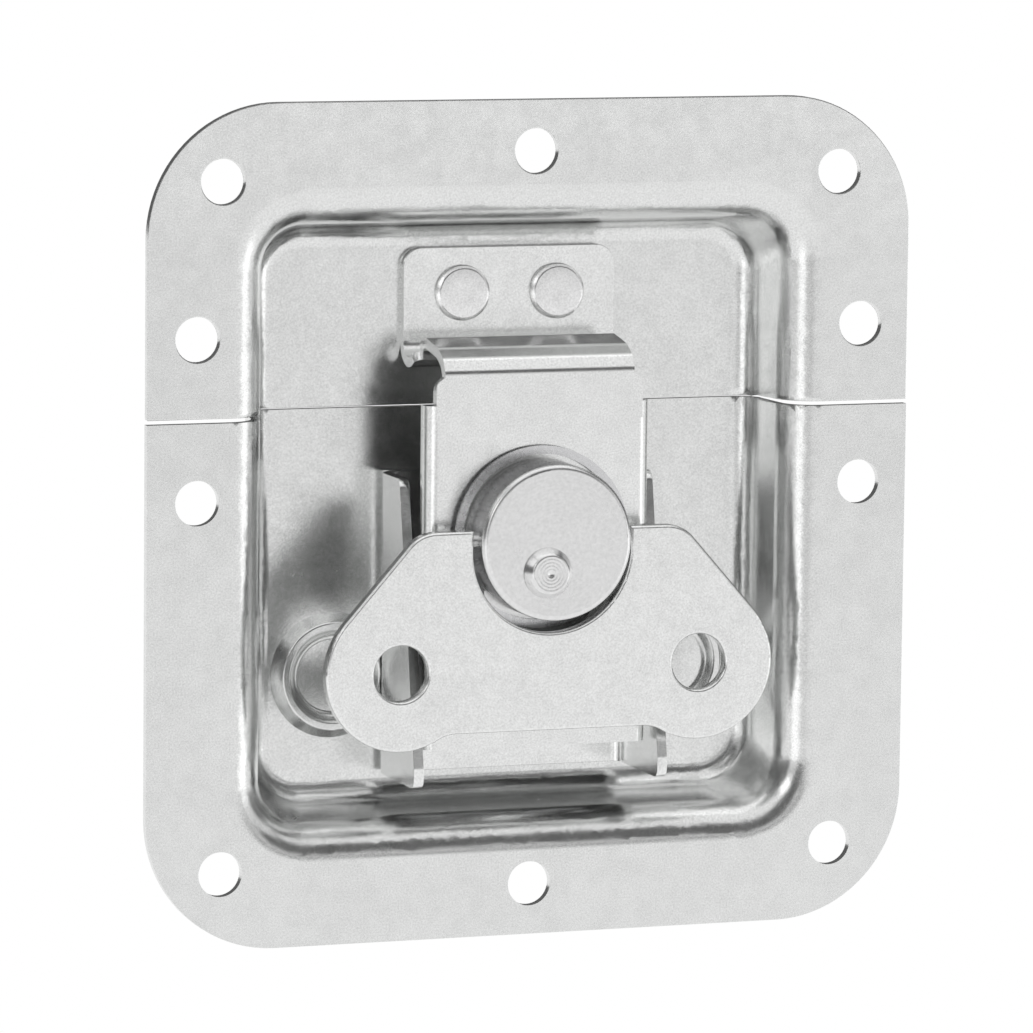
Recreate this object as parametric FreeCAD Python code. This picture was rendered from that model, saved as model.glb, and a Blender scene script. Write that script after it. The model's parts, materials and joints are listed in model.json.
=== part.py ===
import FreeCAD, Part
import math
import os

from FreeCAD import Vector

# Recessed butterfly latch in a two-part dish, millimetres.
# X runs to the right, +Y runs into the case, +Z is up towards the keeper half.
# The origin is the centre of the four corner holes, in the back face of the flange.

# Sheet thicknesses
DISH_SHEET = 1.2
HOOK_SHEET = 1.4
KEEPER_SHEET = 1.4
BRACKET_SHEET = 1.4
HANDLE_SHEET = 1.5

# Flange
FLANGE_WIDTH = 107.0
FLANGE_HEIGHT = 112.0
FLANGE_CORNER = 17.8
SPLIT_Z = 14.4
SPLIT_GAP = 0.6

# Fixing holes in the flange, set in from its edges
HOLE_RADIUS = 3.0
CORNER_HOLE_INSET = 10.25
EDGE_HOLE_INSET = 6.85
SIDE_HOLE_PITCH = 21.5

# Recess pressed into the flange, inside a flat rim
SIDE_RIM = 11.8
END_RIM = 11.2
RECESS_CENTRE_X = -0.3
RECESS_DEPTH = 11.8
RECESS_MOUTH_CORNER = 5.0
RECESS_FLOOR_CORNER = 7.5
WALL_DRAFT_ANGLE = 9.5
LIP_RADIUS = 5.3
FLOOR_RADIUS = 3.0

# Ring pressings in the lower floor
RING_X = 24.0
RING_Z = -21.6
RING_RADIUS = 8.5
RING_CREST_RADIUS = 6.8
RING_CREST_WIDTH = 1.0
RING_CREST_ROUNDING = 0.45
RING_HEIGHT = 1.8
RING_DISC_RADIUS = 5.3
RING_DISC_HEIGHT = 0.5
RING_CLEARANCE = 0.5

# Pivot of the cam and the stroke of the hook
PIVOT_X = -1.4
PIVOT_Z = -5.8
PIVOT_RADIUS = 2.3
DRUM_Z = -1.9
HUB_OFFSET = 2.6

# Cam: drum in front, eccentric hub behind
DRUM_RADIUS = 10.4
DRUM_FRONT = 10.0
DRUM_EDGE = 0.7
HUB_RADIUS = 6.3
DRUM_SEAT_GAP = 0.1

# Rivet heads and washers
PIVOT_HEAD_RADIUS = 3.35
PIVOT_HEAD_TOP_RADIUS = 2.65
PIVOT_HEAD_HEIGHT = 1.3
PIVOT_HEAD_EDGE = 0.25
PIVOT_TAIL_RADIUS = 4.6
PIVOT_TAIL_HEIGHT = 1.8
PIVOT_TAIL_EDGE = 0.6
HUB_WASHER_RADIUS = 8.8
HUB_WASHER_THICKNESS = 1.0
REAR_WASHER_RADIUS = 7.5
REAR_WASHER_THICKNESS = 1.2

# Keeper plate, set down from the flange's top edge
KEEPER_WIDTH = 29.8
KEEPER_TOP_INSET = 20.4
KEEPER_CORNER = 2.5
KEEPER_TROUGH_DROP = 12.3
KEEPER_TROUGH_RADIUS = 2.7
KEEPER_LIP_ANGLE = 36.0
KEEPER_LIP_RUN = 1.0
KEEPER_LIP_CORNER = 0.9
KEEPER_RIVET_X = 6.7
KEEPER_RIVET_DROP = 6.1

# Small rivets
SMALL_RIVET_RADIUS = 1.9
SMALL_HEAD_RADIUS = 3.75
SMALL_HEAD_HEIGHT = 1.0
SMALL_HEAD_EDGE = 0.35
SMALL_TAIL_RADIUS = 3.1
SMALL_TAIL_HEIGHT = 1.1

# Hook plate
HOOK_FACE = 2.4
HOOK_HALF_WIDTH = 15.8
HOOK_NECK_HALF_WIDTH = 14.5
HOOK_ARCH_HALF_WIDTH = 13.3
HOOK_BOTTOM_Z = -30.1
HOOK_NECK_LENGTH = 4.0
HOOK_ARCH_DROP = 3.5
HOOK_FLANGE_DEPTH = 2.6
HOOK_SIDE_BEND = 1.2
HOOK_CORNER = 2.2
SLOT_PLAY = 0.7

# Arch at the hook plate's end: straight runs, turn angles and bend radii, from its crease to its tip
CREASE_ANGLE = -30.0
CREASE_RADIUS = 0.9
ARCH_FRONT_RUN = 1.1
ARCH_FRONT_ANGLE = -30.0
ARCH_FRONT_RADIUS = 0.9
ARCH_RISE_RUN = 1.5
ARCH_RISE_ANGLE = -20.0
ARCH_RISE_RADIUS = 2.5
ARCH_TOP_RUN = 4.0
ARCH_TOP_ANGLE = -46.0
ARCH_TOP_RADIUS = 2.7
ARCH_TIP_RUN = 0.8

# Guide bracket, set up from the flange's bottom edge
BRACKET_GAP = 0.7
BRACKET_TOP_Z = 5.7
BRACKET_BOTTOM_INSET = 21.1
BRACKET_BEND = 2.0
EAR_TOP_FRONT = -2.6
EAR_BOTTOM_FRONT = 4.4
EAR_TIP_RISE = 2.8
EAR_TIP_RADIUS = 1.3
EAR_TOP_RADIUS = 1.6
BRACKET_RIVET_X = 8.0

# Handle
HANDLE_FACE = 8.0
HANDLE_EDGE = 0.4
HANDLE_TOP_Z = -0.25
HANDLE_SHOULDER_ANGLE = 48.6
HANDLE_SHOULDER_RADIUS = 5.0
HANDLE_WAIST_SHARE = 0.8
HANDLE_WAIST_RADIUS = 5.0
LOBE_X = 20.9
LOBE_Z = -18.8
LOBE_RADIUS = 10.4
FINGER_HOLE_RADIUS = 3.75
NOTCH_RADIUS = 11.0
NOTCH_DROP = 1.2

# Handle hinge: a pin across the drum, held in two lugs behind the plate
HINGE_Z = -1.8
HINGE_DEPTH = 5.5
PIN_RADIUS = 0.9
PIN_END = 0.2
LUG_START_X = 12.5
LUG_RADIUS = 1.5

# Bowed spring washer round the drum
SPRING_WASHER_RADIUS = 12.2
SPRING_WASHER_BORE = 11.1
SPRING_WASHER_SHEET = 0.5
SPRING_WASHER_BOW = 0.7
SPRING_WASHER_GAP = 0.2

# Forked leaf spring under the hook plate: its rivets lie at a share of its flat part's length
LEAF_SHEET = 0.6
LEAF_BOTTOM_RISE = 5.3
LEAF_FORK_CLEARANCE = 2.2
LEAF_RIVET_SHARE = 0.4297
LEAF_TIP_Z = 2.0
LEAF_OUTER_X = 13.4
LEAF_PRONG_WIDTH = 2.4
LEAF_BEND = 3.0
LEAF_TIP_RADIUS = 1.6
LEAF_TIP_ANGLE = 60.0
LEAF_TIP_GAP = 0.3

# Clearances
RUNNING_FIT = 0.05
SNUG_FIT = 0.02
SEAT_GAP = 0.1

# How far a cutter reaches past what it cuts, and how near two values count as the same
CUT_MARGIN = 1.0
SAME_PLACE = 1e-4

# Right angle, in radians and in degrees
QUARTER_TURN = math.pi / 2
RIGHT_ANGLE = 90.0

# Places that follow from the sizes above
WALL_LEAN = math.tan(math.radians(WALL_DRAFT_ANGLE))
LIP_RUN = LIP_RADIUS * math.tan(math.radians(RIGHT_ANGLE - WALL_DRAFT_ANGLE) / 2)
MOUTH_HALF_X = FLANGE_WIDTH / 2 - SIDE_RIM - LIP_RUN
MOUTH_HALF_Z = FLANGE_HEIGHT / 2 - END_RIM - LIP_RUN
FLANGE_FRONT_Y = -DISH_SHEET
FLOOR_FRONT_Y = FLANGE_FRONT_Y + RECESS_DEPTH
FLOOR_BACK_Y = FLOOR_FRONT_Y + DISH_SHEET
HUB_Z = PIVOT_Z - HUB_OFFSET
KEEPER_TOP_Z = FLANGE_HEIGHT / 2 - KEEPER_TOP_INSET
KEEPER_RIVET_Z = KEEPER_TOP_Z - KEEPER_RIVET_DROP
KEEPER_TROUGH_Z = KEEPER_TOP_Z - KEEPER_TROUGH_DROP
HOOK_ARCH_Z = KEEPER_TROUGH_Z - HOOK_ARCH_DROP
HOOK_FLANGE_TOP_Z = HOOK_ARCH_Z - HOOK_NECK_LENGTH
BRACKET_BOTTOM_Z = BRACKET_BOTTOM_INSET - FLANGE_HEIGHT / 2
EAR_TIP_Z = BRACKET_BOTTOM_Z + EAR_TIP_RISE
LEAF_BOTTOM_Z = BRACKET_BOTTOM_Z + LEAF_BOTTOM_RISE
LEAF_FORK_Z = PIVOT_Z - HUB_WASHER_RADIUS - LEAF_FORK_CLEARANCE
BRACKET_RIVET_Z = LEAF_BOTTOM_Z + LEAF_RIVET_SHARE * (LEAF_FORK_Z - LEAF_BOTTOM_Z)
BRACKET_BASE_Y = FLOOR_FRONT_Y - BRACKET_SHEET
KEEPER_FACE_Y = FLOOR_FRONT_Y - KEEPER_SHEET
DRUM_FRONT_Y = FLANGE_FRONT_Y - DRUM_FRONT
DRUM_BACK_Y = FLANGE_FRONT_Y - HOOK_FACE - DRUM_SEAT_GAP
HOOK_FACE_Y = FLANGE_FRONT_Y - HOOK_FACE
HOOK_BACK_Y = HOOK_FACE_Y + HOOK_SHEET
HANDLE_FACE_Y = FLANGE_FRONT_Y - HANDLE_FACE
HINGE_Y = FLANGE_FRONT_Y - HINGE_DEPTH
WAIST_Z = LOBE_Z - HANDLE_WAIST_SHARE * LOBE_RADIUS
LUG_END_X = LUG_START_X + HANDLE_SHEET
PIVOT_BORE = PIVOT_RADIUS + RUNNING_FIT

parts = {}


# Sketch helpers

def point_xz(x, z, y=0.0):
    return Vector(x, y, z)


def cylinder_y(radius, y_start, y_end, x=0.0, z=0.0):
    """Round bar along Y between two depths."""
    return Part.makeCylinder(radius, y_end - y_start, Vector(x, y_start, z), Vector(0, 1, 0))


def cylinder_x(radius, x_start, x_end, y, z):
    """Round bar along X between two sides."""
    return Part.makeCylinder(radius, x_end - x_start, Vector(x_start, y, z), Vector(1, 0, 0))


def block(x_range, y_range, z_range):
    """Plain block between three pairs of limits."""
    size = [high - low for low, high in (x_range, y_range, z_range)]
    return Part.makeBox(*size, Vector(x_range[0], y_range[0], z_range[0]))


def slab(half_x, z_low, z_high, y_start, y_end):
    """Block centred on X."""
    return block((-half_x, half_x), (y_start, y_end), (z_low, z_high))


def edges_where(shape, test):
    """Edges whose ends and middle all pass a test on a point."""
    chosen = []
    for edge in shape.Edges:
        first, last = edge.ParameterRange
        samples = [edge.valueAt(first + (last - first) * share) for share in (0.0, 0.5, 1.0)]
        if all(test(sample) for sample in samples):
            chosen.append(edge)
    return chosen


def near(value, target):
    return abs(value - target) < SAME_PLACE


def rounded_rectangle(half_x, half_z, radius, y):
    """Rounded rectangle in the plane at depth y, as a closed wire."""
    edges = []
    reach_x, reach_z = half_x - radius, half_z - radius
    corners = [(reach_x, reach_z), (-reach_x, reach_z), (-reach_x, -reach_z), (reach_x, -reach_z)]
    ends = []
    for quarter, (centre_x, centre_z) in enumerate(corners):
        points = []
        for share in (0.0, 0.5, 1.0):
            angle = (quarter + share) * QUARTER_TURN
            across, up = radius * math.cos(angle), radius * math.sin(angle)
            points.append(point_xz(centre_x + across, centre_z + up, y))
        ends.append((points[0], points[2]))
        edges.append(Part.Arc(*points).toShape())
    for index, (_, arc_end) in enumerate(ends):
        next_start = ends[(index + 1) % len(ends)][0]
        edges.append(Part.LineSegment(arc_end, next_start).toShape())
    return Part.Wire(Part.__sortEdges__(edges))


def bent_strip(place, start, heading, legs, thickness):
    """Section of a bent sheet, as a face.

    place turns a pair of section coordinates into a point. The middle line starts at start with
    the heading in degrees, and each leg is a straight run, a turn in degrees and the turn's radius.
    """
    half = thickness / 2
    sides = {1: [], -1: []}
    here, angle = start, math.radians(heading)
    first_ends, last_ends = {}, {}

    def offset(point, direction, distance):
        return (point[0] - math.sin(direction) * distance, point[1] + math.cos(direction) * distance)

    for side in sides:
        first_ends[side] = offset(here, angle, side * half)
    for run, turn, radius in legs:
        end = (here[0] + run * math.cos(angle), here[1] + run * math.sin(angle))
        for side, edges in sides.items():
            ends = [offset(here, angle, side * half), offset(end, angle, side * half)]
            edges.append(Part.LineSegment(place(*ends[0]), place(*ends[1])).toShape())
        here = end
        if turn:
            sense = math.copysign(1, turn)
            centre = offset(here, angle, sense * radius)
            turned = math.radians(turn)
            for side, edges in sides.items():
                reach = sense * radius - side * half
                points = [offset(centre, angle + turned * share, -reach) for share in (0.0, 0.5, 1.0)]
                edges.append(Part.Arc(*[place(*point) for point in points]).toShape())
            angle += turned
            here = offset(centre, angle, -sense * radius)
    for side in sides:
        last_ends[side] = offset(here, angle, side * half)
    caps = [Part.LineSegment(place(*ends[1]), place(*ends[-1])).toShape()
            for ends in (first_ends, last_ends)]
    return Part.Face(Part.Wire(Part.__sortEdges__(sides[1] + sides[-1] + caps)))


def in_yz(y, z):
    return Vector(0, y, z)


def in_xy(x, y):
    return Vector(x, y, 0)


def widen_x(face, half_x):
    """Sweep a section across the part, centred on X."""
    face = face.copy()
    face.translate(Vector(-half_x, 0, 0))
    return face.extrude(Vector(2 * half_x, 0, 0))


# Dish halves

def recess_block(grow, y_start, bottom_y, bottom_radius):
    """Drafted block of the recess, grown sideways by grow, with its bottom edge rounded."""
    wires = []
    for y in (y_start, bottom_y):
        depth = y - FLANGE_FRONT_Y
        inset = depth * WALL_LEAN - grow
        corner = RECESS_MOUTH_CORNER + (RECESS_FLOOR_CORNER - RECESS_MOUTH_CORNER) * depth / RECESS_DEPTH
        wires.append(rounded_rectangle(MOUTH_HALF_X - inset, MOUTH_HALF_Z - inset, corner + grow, y))
    body = Part.makeLoft(wires, True, True)
    body.translate(Vector(RECESS_CENTRE_X, 0, 0))
    bottom = edges_where(body, lambda point: near(point.y, bottom_y))
    return body.makeFillet(bottom_radius, bottom)


def blend_mouth(body, y, radius):
    """Round the edge where a recess block meets the flange plane at depth y."""
    reach_x, reach_z = FLANGE_WIDTH / 2 - CUT_MARGIN, FLANGE_HEIGHT / 2 - CUT_MARGIN
    inside = edges_where(body, lambda point: near(point.y, y)
                         and abs(point.x) < reach_x and abs(point.z) < reach_z)
    return body.makeFillet(radius, inside)


def hole_places():
    """Centres of the ten fixing holes."""
    corner_x = FLANGE_WIDTH / 2 - CORNER_HOLE_INSET
    corner_z = FLANGE_HEIGHT / 2 - CORNER_HOLE_INSET
    edge_x = FLANGE_WIDTH / 2 - EDGE_HOLE_INSET
    edge_z = FLANGE_HEIGHT / 2 - EDGE_HOLE_INSET
    places = []
    for side_x in (-1, 1):
        for side_z in (-1, 1):
            places.append((side_x * corner_x, side_z * corner_z))
            places.append((side_x * edge_x, SPLIT_Z + side_z * SIDE_HOLE_PITCH / 2))
    places += [(0.0, side_z * edge_z) for side_z in (-1, 1)]
    return places


def whole_dish():
    """Flange and recess as one pressed sheet, before it is split."""
    wall_growth = DISH_SHEET / math.cos(math.radians(WALL_DRAFT_ANGLE))
    plate_wire = rounded_rectangle(FLANGE_WIDTH / 2, FLANGE_HEIGHT / 2, FLANGE_CORNER, FLANGE_FRONT_Y)
    plate = Part.Face(plate_wire).extrude(Vector(0, DISH_SHEET, 0))
    middle_y = FLANGE_FRONT_Y + DISH_SHEET / 2
    outside = recess_block(wall_growth, middle_y, FLOOR_BACK_Y, FLOOR_RADIUS + DISH_SHEET)
    outside = blend_mouth(plate.fuse(outside).removeSplitter(), 0.0, LIP_RADIUS - DISH_SHEET)
    front_room = block((-FLANGE_WIDTH, FLANGE_WIDTH), (FLANGE_FRONT_Y - RECESS_DEPTH, FLANGE_FRONT_Y),
                       (-FLANGE_HEIGHT, FLANGE_HEIGHT))
    inside = recess_block(0.0, FLANGE_FRONT_Y - DISH_SHEET, FLOOR_FRONT_Y, FLOOR_RADIUS)
    inside = blend_mouth(front_room.fuse(inside).removeSplitter(), FLANGE_FRONT_Y, LIP_RADIUS)
    dish = outside.cut(inside)
    start_y = FLANGE_FRONT_Y - CUT_MARGIN
    return dish.cut([cylinder_y(HOLE_RADIUS, start_y, CUT_MARGIN, x, z) for x, z in hole_places()])


def ring_places():
    """Centres of the two ring pressings."""
    return [(RECESS_CENTRE_X + side * RING_X, RING_Z) for side in (-1, 1)]


def ring_pressing():
    """Pressed ring with a raised disc inside it, in sheet thickness, about the Y axis at X = 0."""
    half_crest = RING_CREST_WIDTH / 2
    levels = [(RING_RADIUS, 0.0),
              (RING_CREST_RADIUS + half_crest, RING_HEIGHT), (RING_CREST_RADIUS - half_crest, RING_HEIGHT),
              (RING_DISC_RADIUS, RING_DISC_HEIGHT), (0.0, RING_DISC_HEIGHT)]
    front = [Vector(radius, FLOOR_FRONT_Y - height, 0) for radius, height in levels]
    back = [Vector(radius, FLOOR_BACK_Y - height, 0) for radius, height in reversed(levels)]
    section = Part.Face(Part.makePolygon(front + back + [front[0]]))
    ring = section.revolve(Vector(0, 0, 0), Vector(0, 1, 0), 360)
    crest = edges_where(ring, lambda point: near(point.y, FLOOR_FRONT_Y - RING_HEIGHT))
    circles = [edge for edge in crest if near(edge.CenterOfMass.x, 0) and near(edge.CenterOfMass.z, 0)]
    return ring.makeFillet(RING_CREST_ROUNDING, circles)


def make_dish_halves():
    dish = whole_dish()
    half_gap = SPLIT_GAP / 2
    wide, deep = FLANGE_WIDTH, FLANGE_HEIGHT
    upper_room = slab(wide, SPLIT_Z + half_gap, deep, -deep, deep)
    lower_room = slab(wide, -deep, SPLIT_Z - half_gap, -deep, deep)
    upper = dish.common(upper_room)
    lower = dish.common(lower_room)
    low_y, high_y = FLOOR_FRONT_Y - CUT_MARGIN, FLOOR_BACK_Y + CUT_MARGIN
    for x, z in ring_places():
        lower = lower.cut(cylinder_y(RING_RADIUS, low_y, high_y, x, z))
        ring = ring_pressing()
        ring.translate(point_xz(x, z))
        lower = lower.fuse(ring)
    for side in (-1, 1):
        upper = upper.cut(rivet_hole(side * KEEPER_RIVET_X, KEEPER_RIVET_Z))
        lower = lower.cut(rivet_hole(side * BRACKET_RIVET_X, BRACKET_RIVET_Z))
    lower = lower.cut(pivot_hole())
    parts["upper_dish"] = upper
    parts["lower_dish"] = lower.removeSplitter()


# Rivets and their holes

def rivet_hole(x, z):
    return cylinder_y(SMALL_RIVET_RADIUS + RUNNING_FIT, -RECESS_DEPTH, FLOOR_BACK_Y + RECESS_DEPTH, x, z)


def pivot_hole():
    return cylinder_y(PIVOT_BORE, -RECESS_DEPTH, FLOOR_BACK_Y + RECESS_DEPTH, PIVOT_X, PIVOT_Z)


def small_rivet(x, z, front_y):
    """Flat-headed rivet from a seat at front_y through the floor to a tail behind it."""
    head = cylinder_y(SMALL_HEAD_RADIUS, front_y - SMALL_HEAD_HEIGHT, front_y, x, z)
    rim = edges_where(head, lambda point: near(point.y, front_y - SMALL_HEAD_HEIGHT))
    head = head.makeFillet(SMALL_HEAD_EDGE, rim)
    shank = cylinder_y(SMALL_RIVET_RADIUS, front_y - SMALL_HEAD_HEIGHT / 2,
                       FLOOR_BACK_Y + SMALL_TAIL_HEIGHT / 2, x, z)
    tail = cylinder_y(SMALL_TAIL_RADIUS, FLOOR_BACK_Y, FLOOR_BACK_Y + SMALL_TAIL_HEIGHT, x, z)
    tail_rim = edges_where(tail, lambda point: near(point.y, FLOOR_BACK_Y + SMALL_TAIL_HEIGHT))
    tail = tail.makeFillet(SMALL_HEAD_EDGE, tail_rim)
    return head.fuse([shank, tail]).removeSplitter()


def make_small_rivets():
    leaf_face_y = BRACKET_BASE_Y - LEAF_SHEET
    for hand, side in (("left", -1), ("right", 1)):
        parts[f"keeper_rivet_{hand}"] = small_rivet(side * KEEPER_RIVET_X, KEEPER_RIVET_Z, KEEPER_FACE_Y)
        parts[f"bracket_rivet_{hand}"] = small_rivet(side * BRACKET_RIVET_X, BRACKET_RIVET_Z, leaf_face_y)


def make_pivot_rivet():
    """Fixed axle of the cam, with a coned head on the drum and its tail behind the rear washer."""
    seat_y = DRUM_FRONT_Y - SEAT_GAP
    top_y = seat_y - PIVOT_HEAD_HEIGHT
    tail_y = FLOOR_BACK_Y + REAR_WASHER_THICKNESS
    head = Part.makeCone(PIVOT_HEAD_RADIUS, PIVOT_HEAD_TOP_RADIUS, PIVOT_HEAD_HEIGHT,
                         Vector(PIVOT_X, seat_y, PIVOT_Z), Vector(0, -1, 0))
    head = head.makeFillet(PIVOT_HEAD_EDGE, edges_where(head, lambda point: near(point.y, top_y)))
    shank = cylinder_y(PIVOT_RADIUS, top_y + PIVOT_HEAD_EDGE, tail_y + PIVOT_TAIL_EDGE, PIVOT_X, PIVOT_Z)
    tail = cylinder_y(PIVOT_TAIL_RADIUS, tail_y, tail_y + PIVOT_TAIL_HEIGHT, PIVOT_X, PIVOT_Z)
    tail = tail.makeFillet(PIVOT_TAIL_EDGE, edges_where(
        tail, lambda point: near(point.y, tail_y + PIVOT_TAIL_HEIGHT)))
    parts["pivot_rivet"] = head.fuse([shank, tail]).removeSplitter()


def make_washers():
    bore = pivot_hole()
    hub_washer = cylinder_y(HUB_WASHER_RADIUS, BRACKET_BASE_Y - HUB_WASHER_THICKNESS, BRACKET_BASE_Y,
                            PIVOT_X, PIVOT_Z)
    rear_washer = cylinder_y(REAR_WASHER_RADIUS, FLOOR_BACK_Y, FLOOR_BACK_Y + REAR_WASHER_THICKNESS,
                             PIVOT_X, PIVOT_Z)
    parts["hub_washer"] = hub_washer.cut(bore)
    parts["rear_washer"] = rear_washer.cut(bore)


# Keeper

def make_keeper():
    """Flat plate whose lower end is rolled into an upturned trough."""
    half = KEEPER_WIDTH / 2
    legs = [(KEEPER_TOP_Z - KEEPER_TROUGH_Z, -(RIGHT_ANGLE + KEEPER_LIP_ANGLE), KEEPER_TROUGH_RADIUS),
            (KEEPER_LIP_RUN, 0, 0)]
    start = (KEEPER_FACE_Y + KEEPER_SHEET / 2, KEEPER_TOP_Z)
    plate = widen_x(bent_strip(in_yz, start, -RIGHT_ANGLE, legs, KEEPER_SHEET), half)
    corners = edges_where(plate, lambda point: near(abs(point.x), half) and near(point.z, KEEPER_TOP_Z))
    plate = plate.makeFillet(KEEPER_CORNER, corners)
    across = edges_where(plate, lambda point: near(abs(point.x), half) and point.y < KEEPER_FACE_Y)
    lip_corners = [edge for edge in across if near(edge.Length, KEEPER_SHEET)]
    plate = plate.makeFillet(KEEPER_LIP_CORNER, lip_corners)
    for side in (-1, 1):
        plate = plate.cut(rivet_hole(side * KEEPER_RIVET_X, KEEPER_RIVET_Z))
    parts["keeper_plate"] = plate


# Guide bracket

def ear_outline():
    """Block whose side view is the outline of the tapered ears."""
    front_y = FLANGE_FRONT_Y - EAR_BOTTOM_FRONT
    top_front_y = FLANGE_FRONT_Y - EAR_TOP_FRONT
    reach = HOOK_HALF_WIDTH + BRACKET_GAP + 2 * BRACKET_SHEET
    corners = [(FLOOR_BACK_Y, BRACKET_BOTTOM_Z), (front_y, BRACKET_BOTTOM_Z), (front_y, EAR_TIP_Z),
               (top_front_y, BRACKET_TOP_Z), (FLOOR_BACK_Y, BRACKET_TOP_Z)]
    points = [Vector(-reach, y, z) for y, z in corners]
    body = Part.Face(Part.makePolygon(points + [points[0]])).extrude(Vector(2 * reach, 0, 0))
    tips = [edge for edge in edges_where(body, lambda point: near(point.y, front_y))
            if near(edge.Length, 2 * reach)]
    body = body.makeFillet(EAR_TIP_RADIUS, tips)
    tops = edges_where(body, lambda point: near(point.y, top_front_y) and near(point.z, BRACKET_TOP_Z))
    return body.makeFillet(EAR_TOP_RADIUS, tops)


def make_bracket():
    """Channel that guides the hook plate, with its base on the lower floor."""
    middle_x = HOOK_HALF_WIDTH + BRACKET_GAP + BRACKET_SHEET / 2
    front_y = FLANGE_FRONT_Y - EAR_BOTTOM_FRONT
    ear_run = BRACKET_BASE_Y + BRACKET_SHEET / 2 - BRACKET_BEND - front_y
    legs = [(ear_run, -RIGHT_ANGLE, BRACKET_BEND),
            (2 * (middle_x - BRACKET_BEND), -RIGHT_ANGLE, BRACKET_BEND), (ear_run, 0, 0)]
    section = bent_strip(in_xy, (-middle_x, front_y), RIGHT_ANGLE, legs, BRACKET_SHEET)
    section.translate(Vector(0, 0, BRACKET_BOTTOM_Z))
    channel = section.extrude(Vector(0, 0, BRACKET_TOP_Z - BRACKET_BOTTOM_Z))
    bracket = channel.common(ear_outline())
    relief_radius = RING_RADIUS + RING_CLEARANCE
    relief_y = FLOOR_FRONT_Y - RING_HEIGHT - RING_CLEARANCE
    cutters = [cylinder_y(relief_radius, relief_y, FLOOR_BACK_Y, x, z) for x, z in ring_places()]
    cutters += [rivet_hole(side * BRACKET_RIVET_X, BRACKET_RIVET_Z) for side in (-1, 1)]
    parts["guide_bracket"] = bracket.cut(cutters + [pivot_hole()])


# Hook plate

def hook_face():
    """Lower part of the plate, with its side edges bent back."""
    middle_x = HOOK_HALF_WIDTH - HOOK_SHEET / 2
    face_y = HOOK_FACE_Y + HOOK_SHEET / 2
    back_y = HOOK_FACE_Y + HOOK_FLANGE_DEPTH
    edge_run = back_y - face_y - HOOK_SIDE_BEND
    legs = [(edge_run, RIGHT_ANGLE, HOOK_SIDE_BEND),
            (2 * (middle_x - HOOK_SIDE_BEND), RIGHT_ANGLE, HOOK_SIDE_BEND), (edge_run, 0, 0)]
    section = bent_strip(in_xy, (-middle_x, back_y), -RIGHT_ANGLE, legs, HOOK_SHEET)
    section.translate(Vector(0, 0, HOOK_BOTTOM_Z))
    return section.extrude(Vector(0, 0, HOOK_FLANGE_TOP_Z - HOOK_BOTTOM_Z))


def hook_neck():
    """Flat part above the bent sides, with rounded shoulders."""
    low_z = HOOK_FLANGE_TOP_Z - HOOK_CORNER
    neck = slab(HOOK_NECK_HALF_WIDTH, low_z, HOOK_ARCH_Z, HOOK_FACE_Y, HOOK_BACK_Y)
    shoulders = edges_where(neck, lambda point: near(abs(point.x), HOOK_NECK_HALF_WIDTH)
                            and near(point.z, HOOK_ARCH_Z))
    return neck.makeFillet(HOOK_CORNER, shoulders)


def hook_arch():
    """Arched end that passes over the keeper's lip and dips into its trough."""
    start_z = HOOK_FLANGE_TOP_Z - HOOK_CORNER
    legs = [(HOOK_ARCH_Z - start_z, CREASE_ANGLE, CREASE_RADIUS),
            (ARCH_FRONT_RUN, ARCH_FRONT_ANGLE, ARCH_FRONT_RADIUS),
            (ARCH_RISE_RUN, ARCH_RISE_ANGLE, ARCH_RISE_RADIUS),
            (ARCH_TOP_RUN, ARCH_TOP_ANGLE, ARCH_TOP_RADIUS),
            (ARCH_TIP_RUN, 0, 0)]
    section = bent_strip(in_yz, (HOOK_FACE_Y + HOOK_SHEET / 2, start_z), RIGHT_ANGLE, legs, HOOK_SHEET)
    return widen_x(section, HOOK_ARCH_HALF_WIDTH)


def hub_slot():
    """Cross slot that the eccentric hub works in."""
    radius = HUB_RADIUS + SLOT_PLAY
    reach = HUB_OFFSET + SLOT_PLAY / 2
    low_y, high_y = HOOK_FACE_Y - CUT_MARGIN, HOOK_BACK_Y + CUT_MARGIN
    ends = [cylinder_y(radius, low_y, high_y, PIVOT_X + side * reach, HUB_Z) for side in (-1, 1)]
    middle = block((PIVOT_X - reach, PIVOT_X + reach), (low_y, high_y), (HUB_Z - radius, HUB_Z + radius))
    return middle.fuse(ends).removeSplitter()


def make_hook_plate():
    plate = hook_face().fuse([hook_neck(), hook_arch()]).removeSplitter()
    parts["hook_plate"] = plate.cut(hub_slot())


# Cam, hinge pin and bowed washer

def make_cam():
    """Turned drum in front and eccentric hub behind, bored for the axle and the hinge pin."""
    drum = cylinder_y(DRUM_RADIUS, DRUM_FRONT_Y, DRUM_BACK_Y, 0, DRUM_Z)
    drum = drum.makeFillet(DRUM_EDGE, edges_where(drum, lambda point: near(point.y, DRUM_FRONT_Y)))
    hub_back_y = BRACKET_BASE_Y - HUB_WASHER_THICKNESS - SEAT_GAP
    hub = cylinder_y(HUB_RADIUS, DRUM_BACK_Y, hub_back_y, PIVOT_X, HUB_Z)
    pin_bore = cylinder_x(PIN_RADIUS + SNUG_FIT, -2 * DRUM_RADIUS, 2 * DRUM_RADIUS, HINGE_Y, HINGE_Z)
    parts["cam"] = drum.fuse(hub).cut([pivot_hole(), pin_bore])
    pin_reach = LUG_END_X + PIN_END
    parts["hinge_pin"] = cylinder_x(PIN_RADIUS, -pin_reach, pin_reach, HINGE_Y, HINGE_Z)


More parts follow.
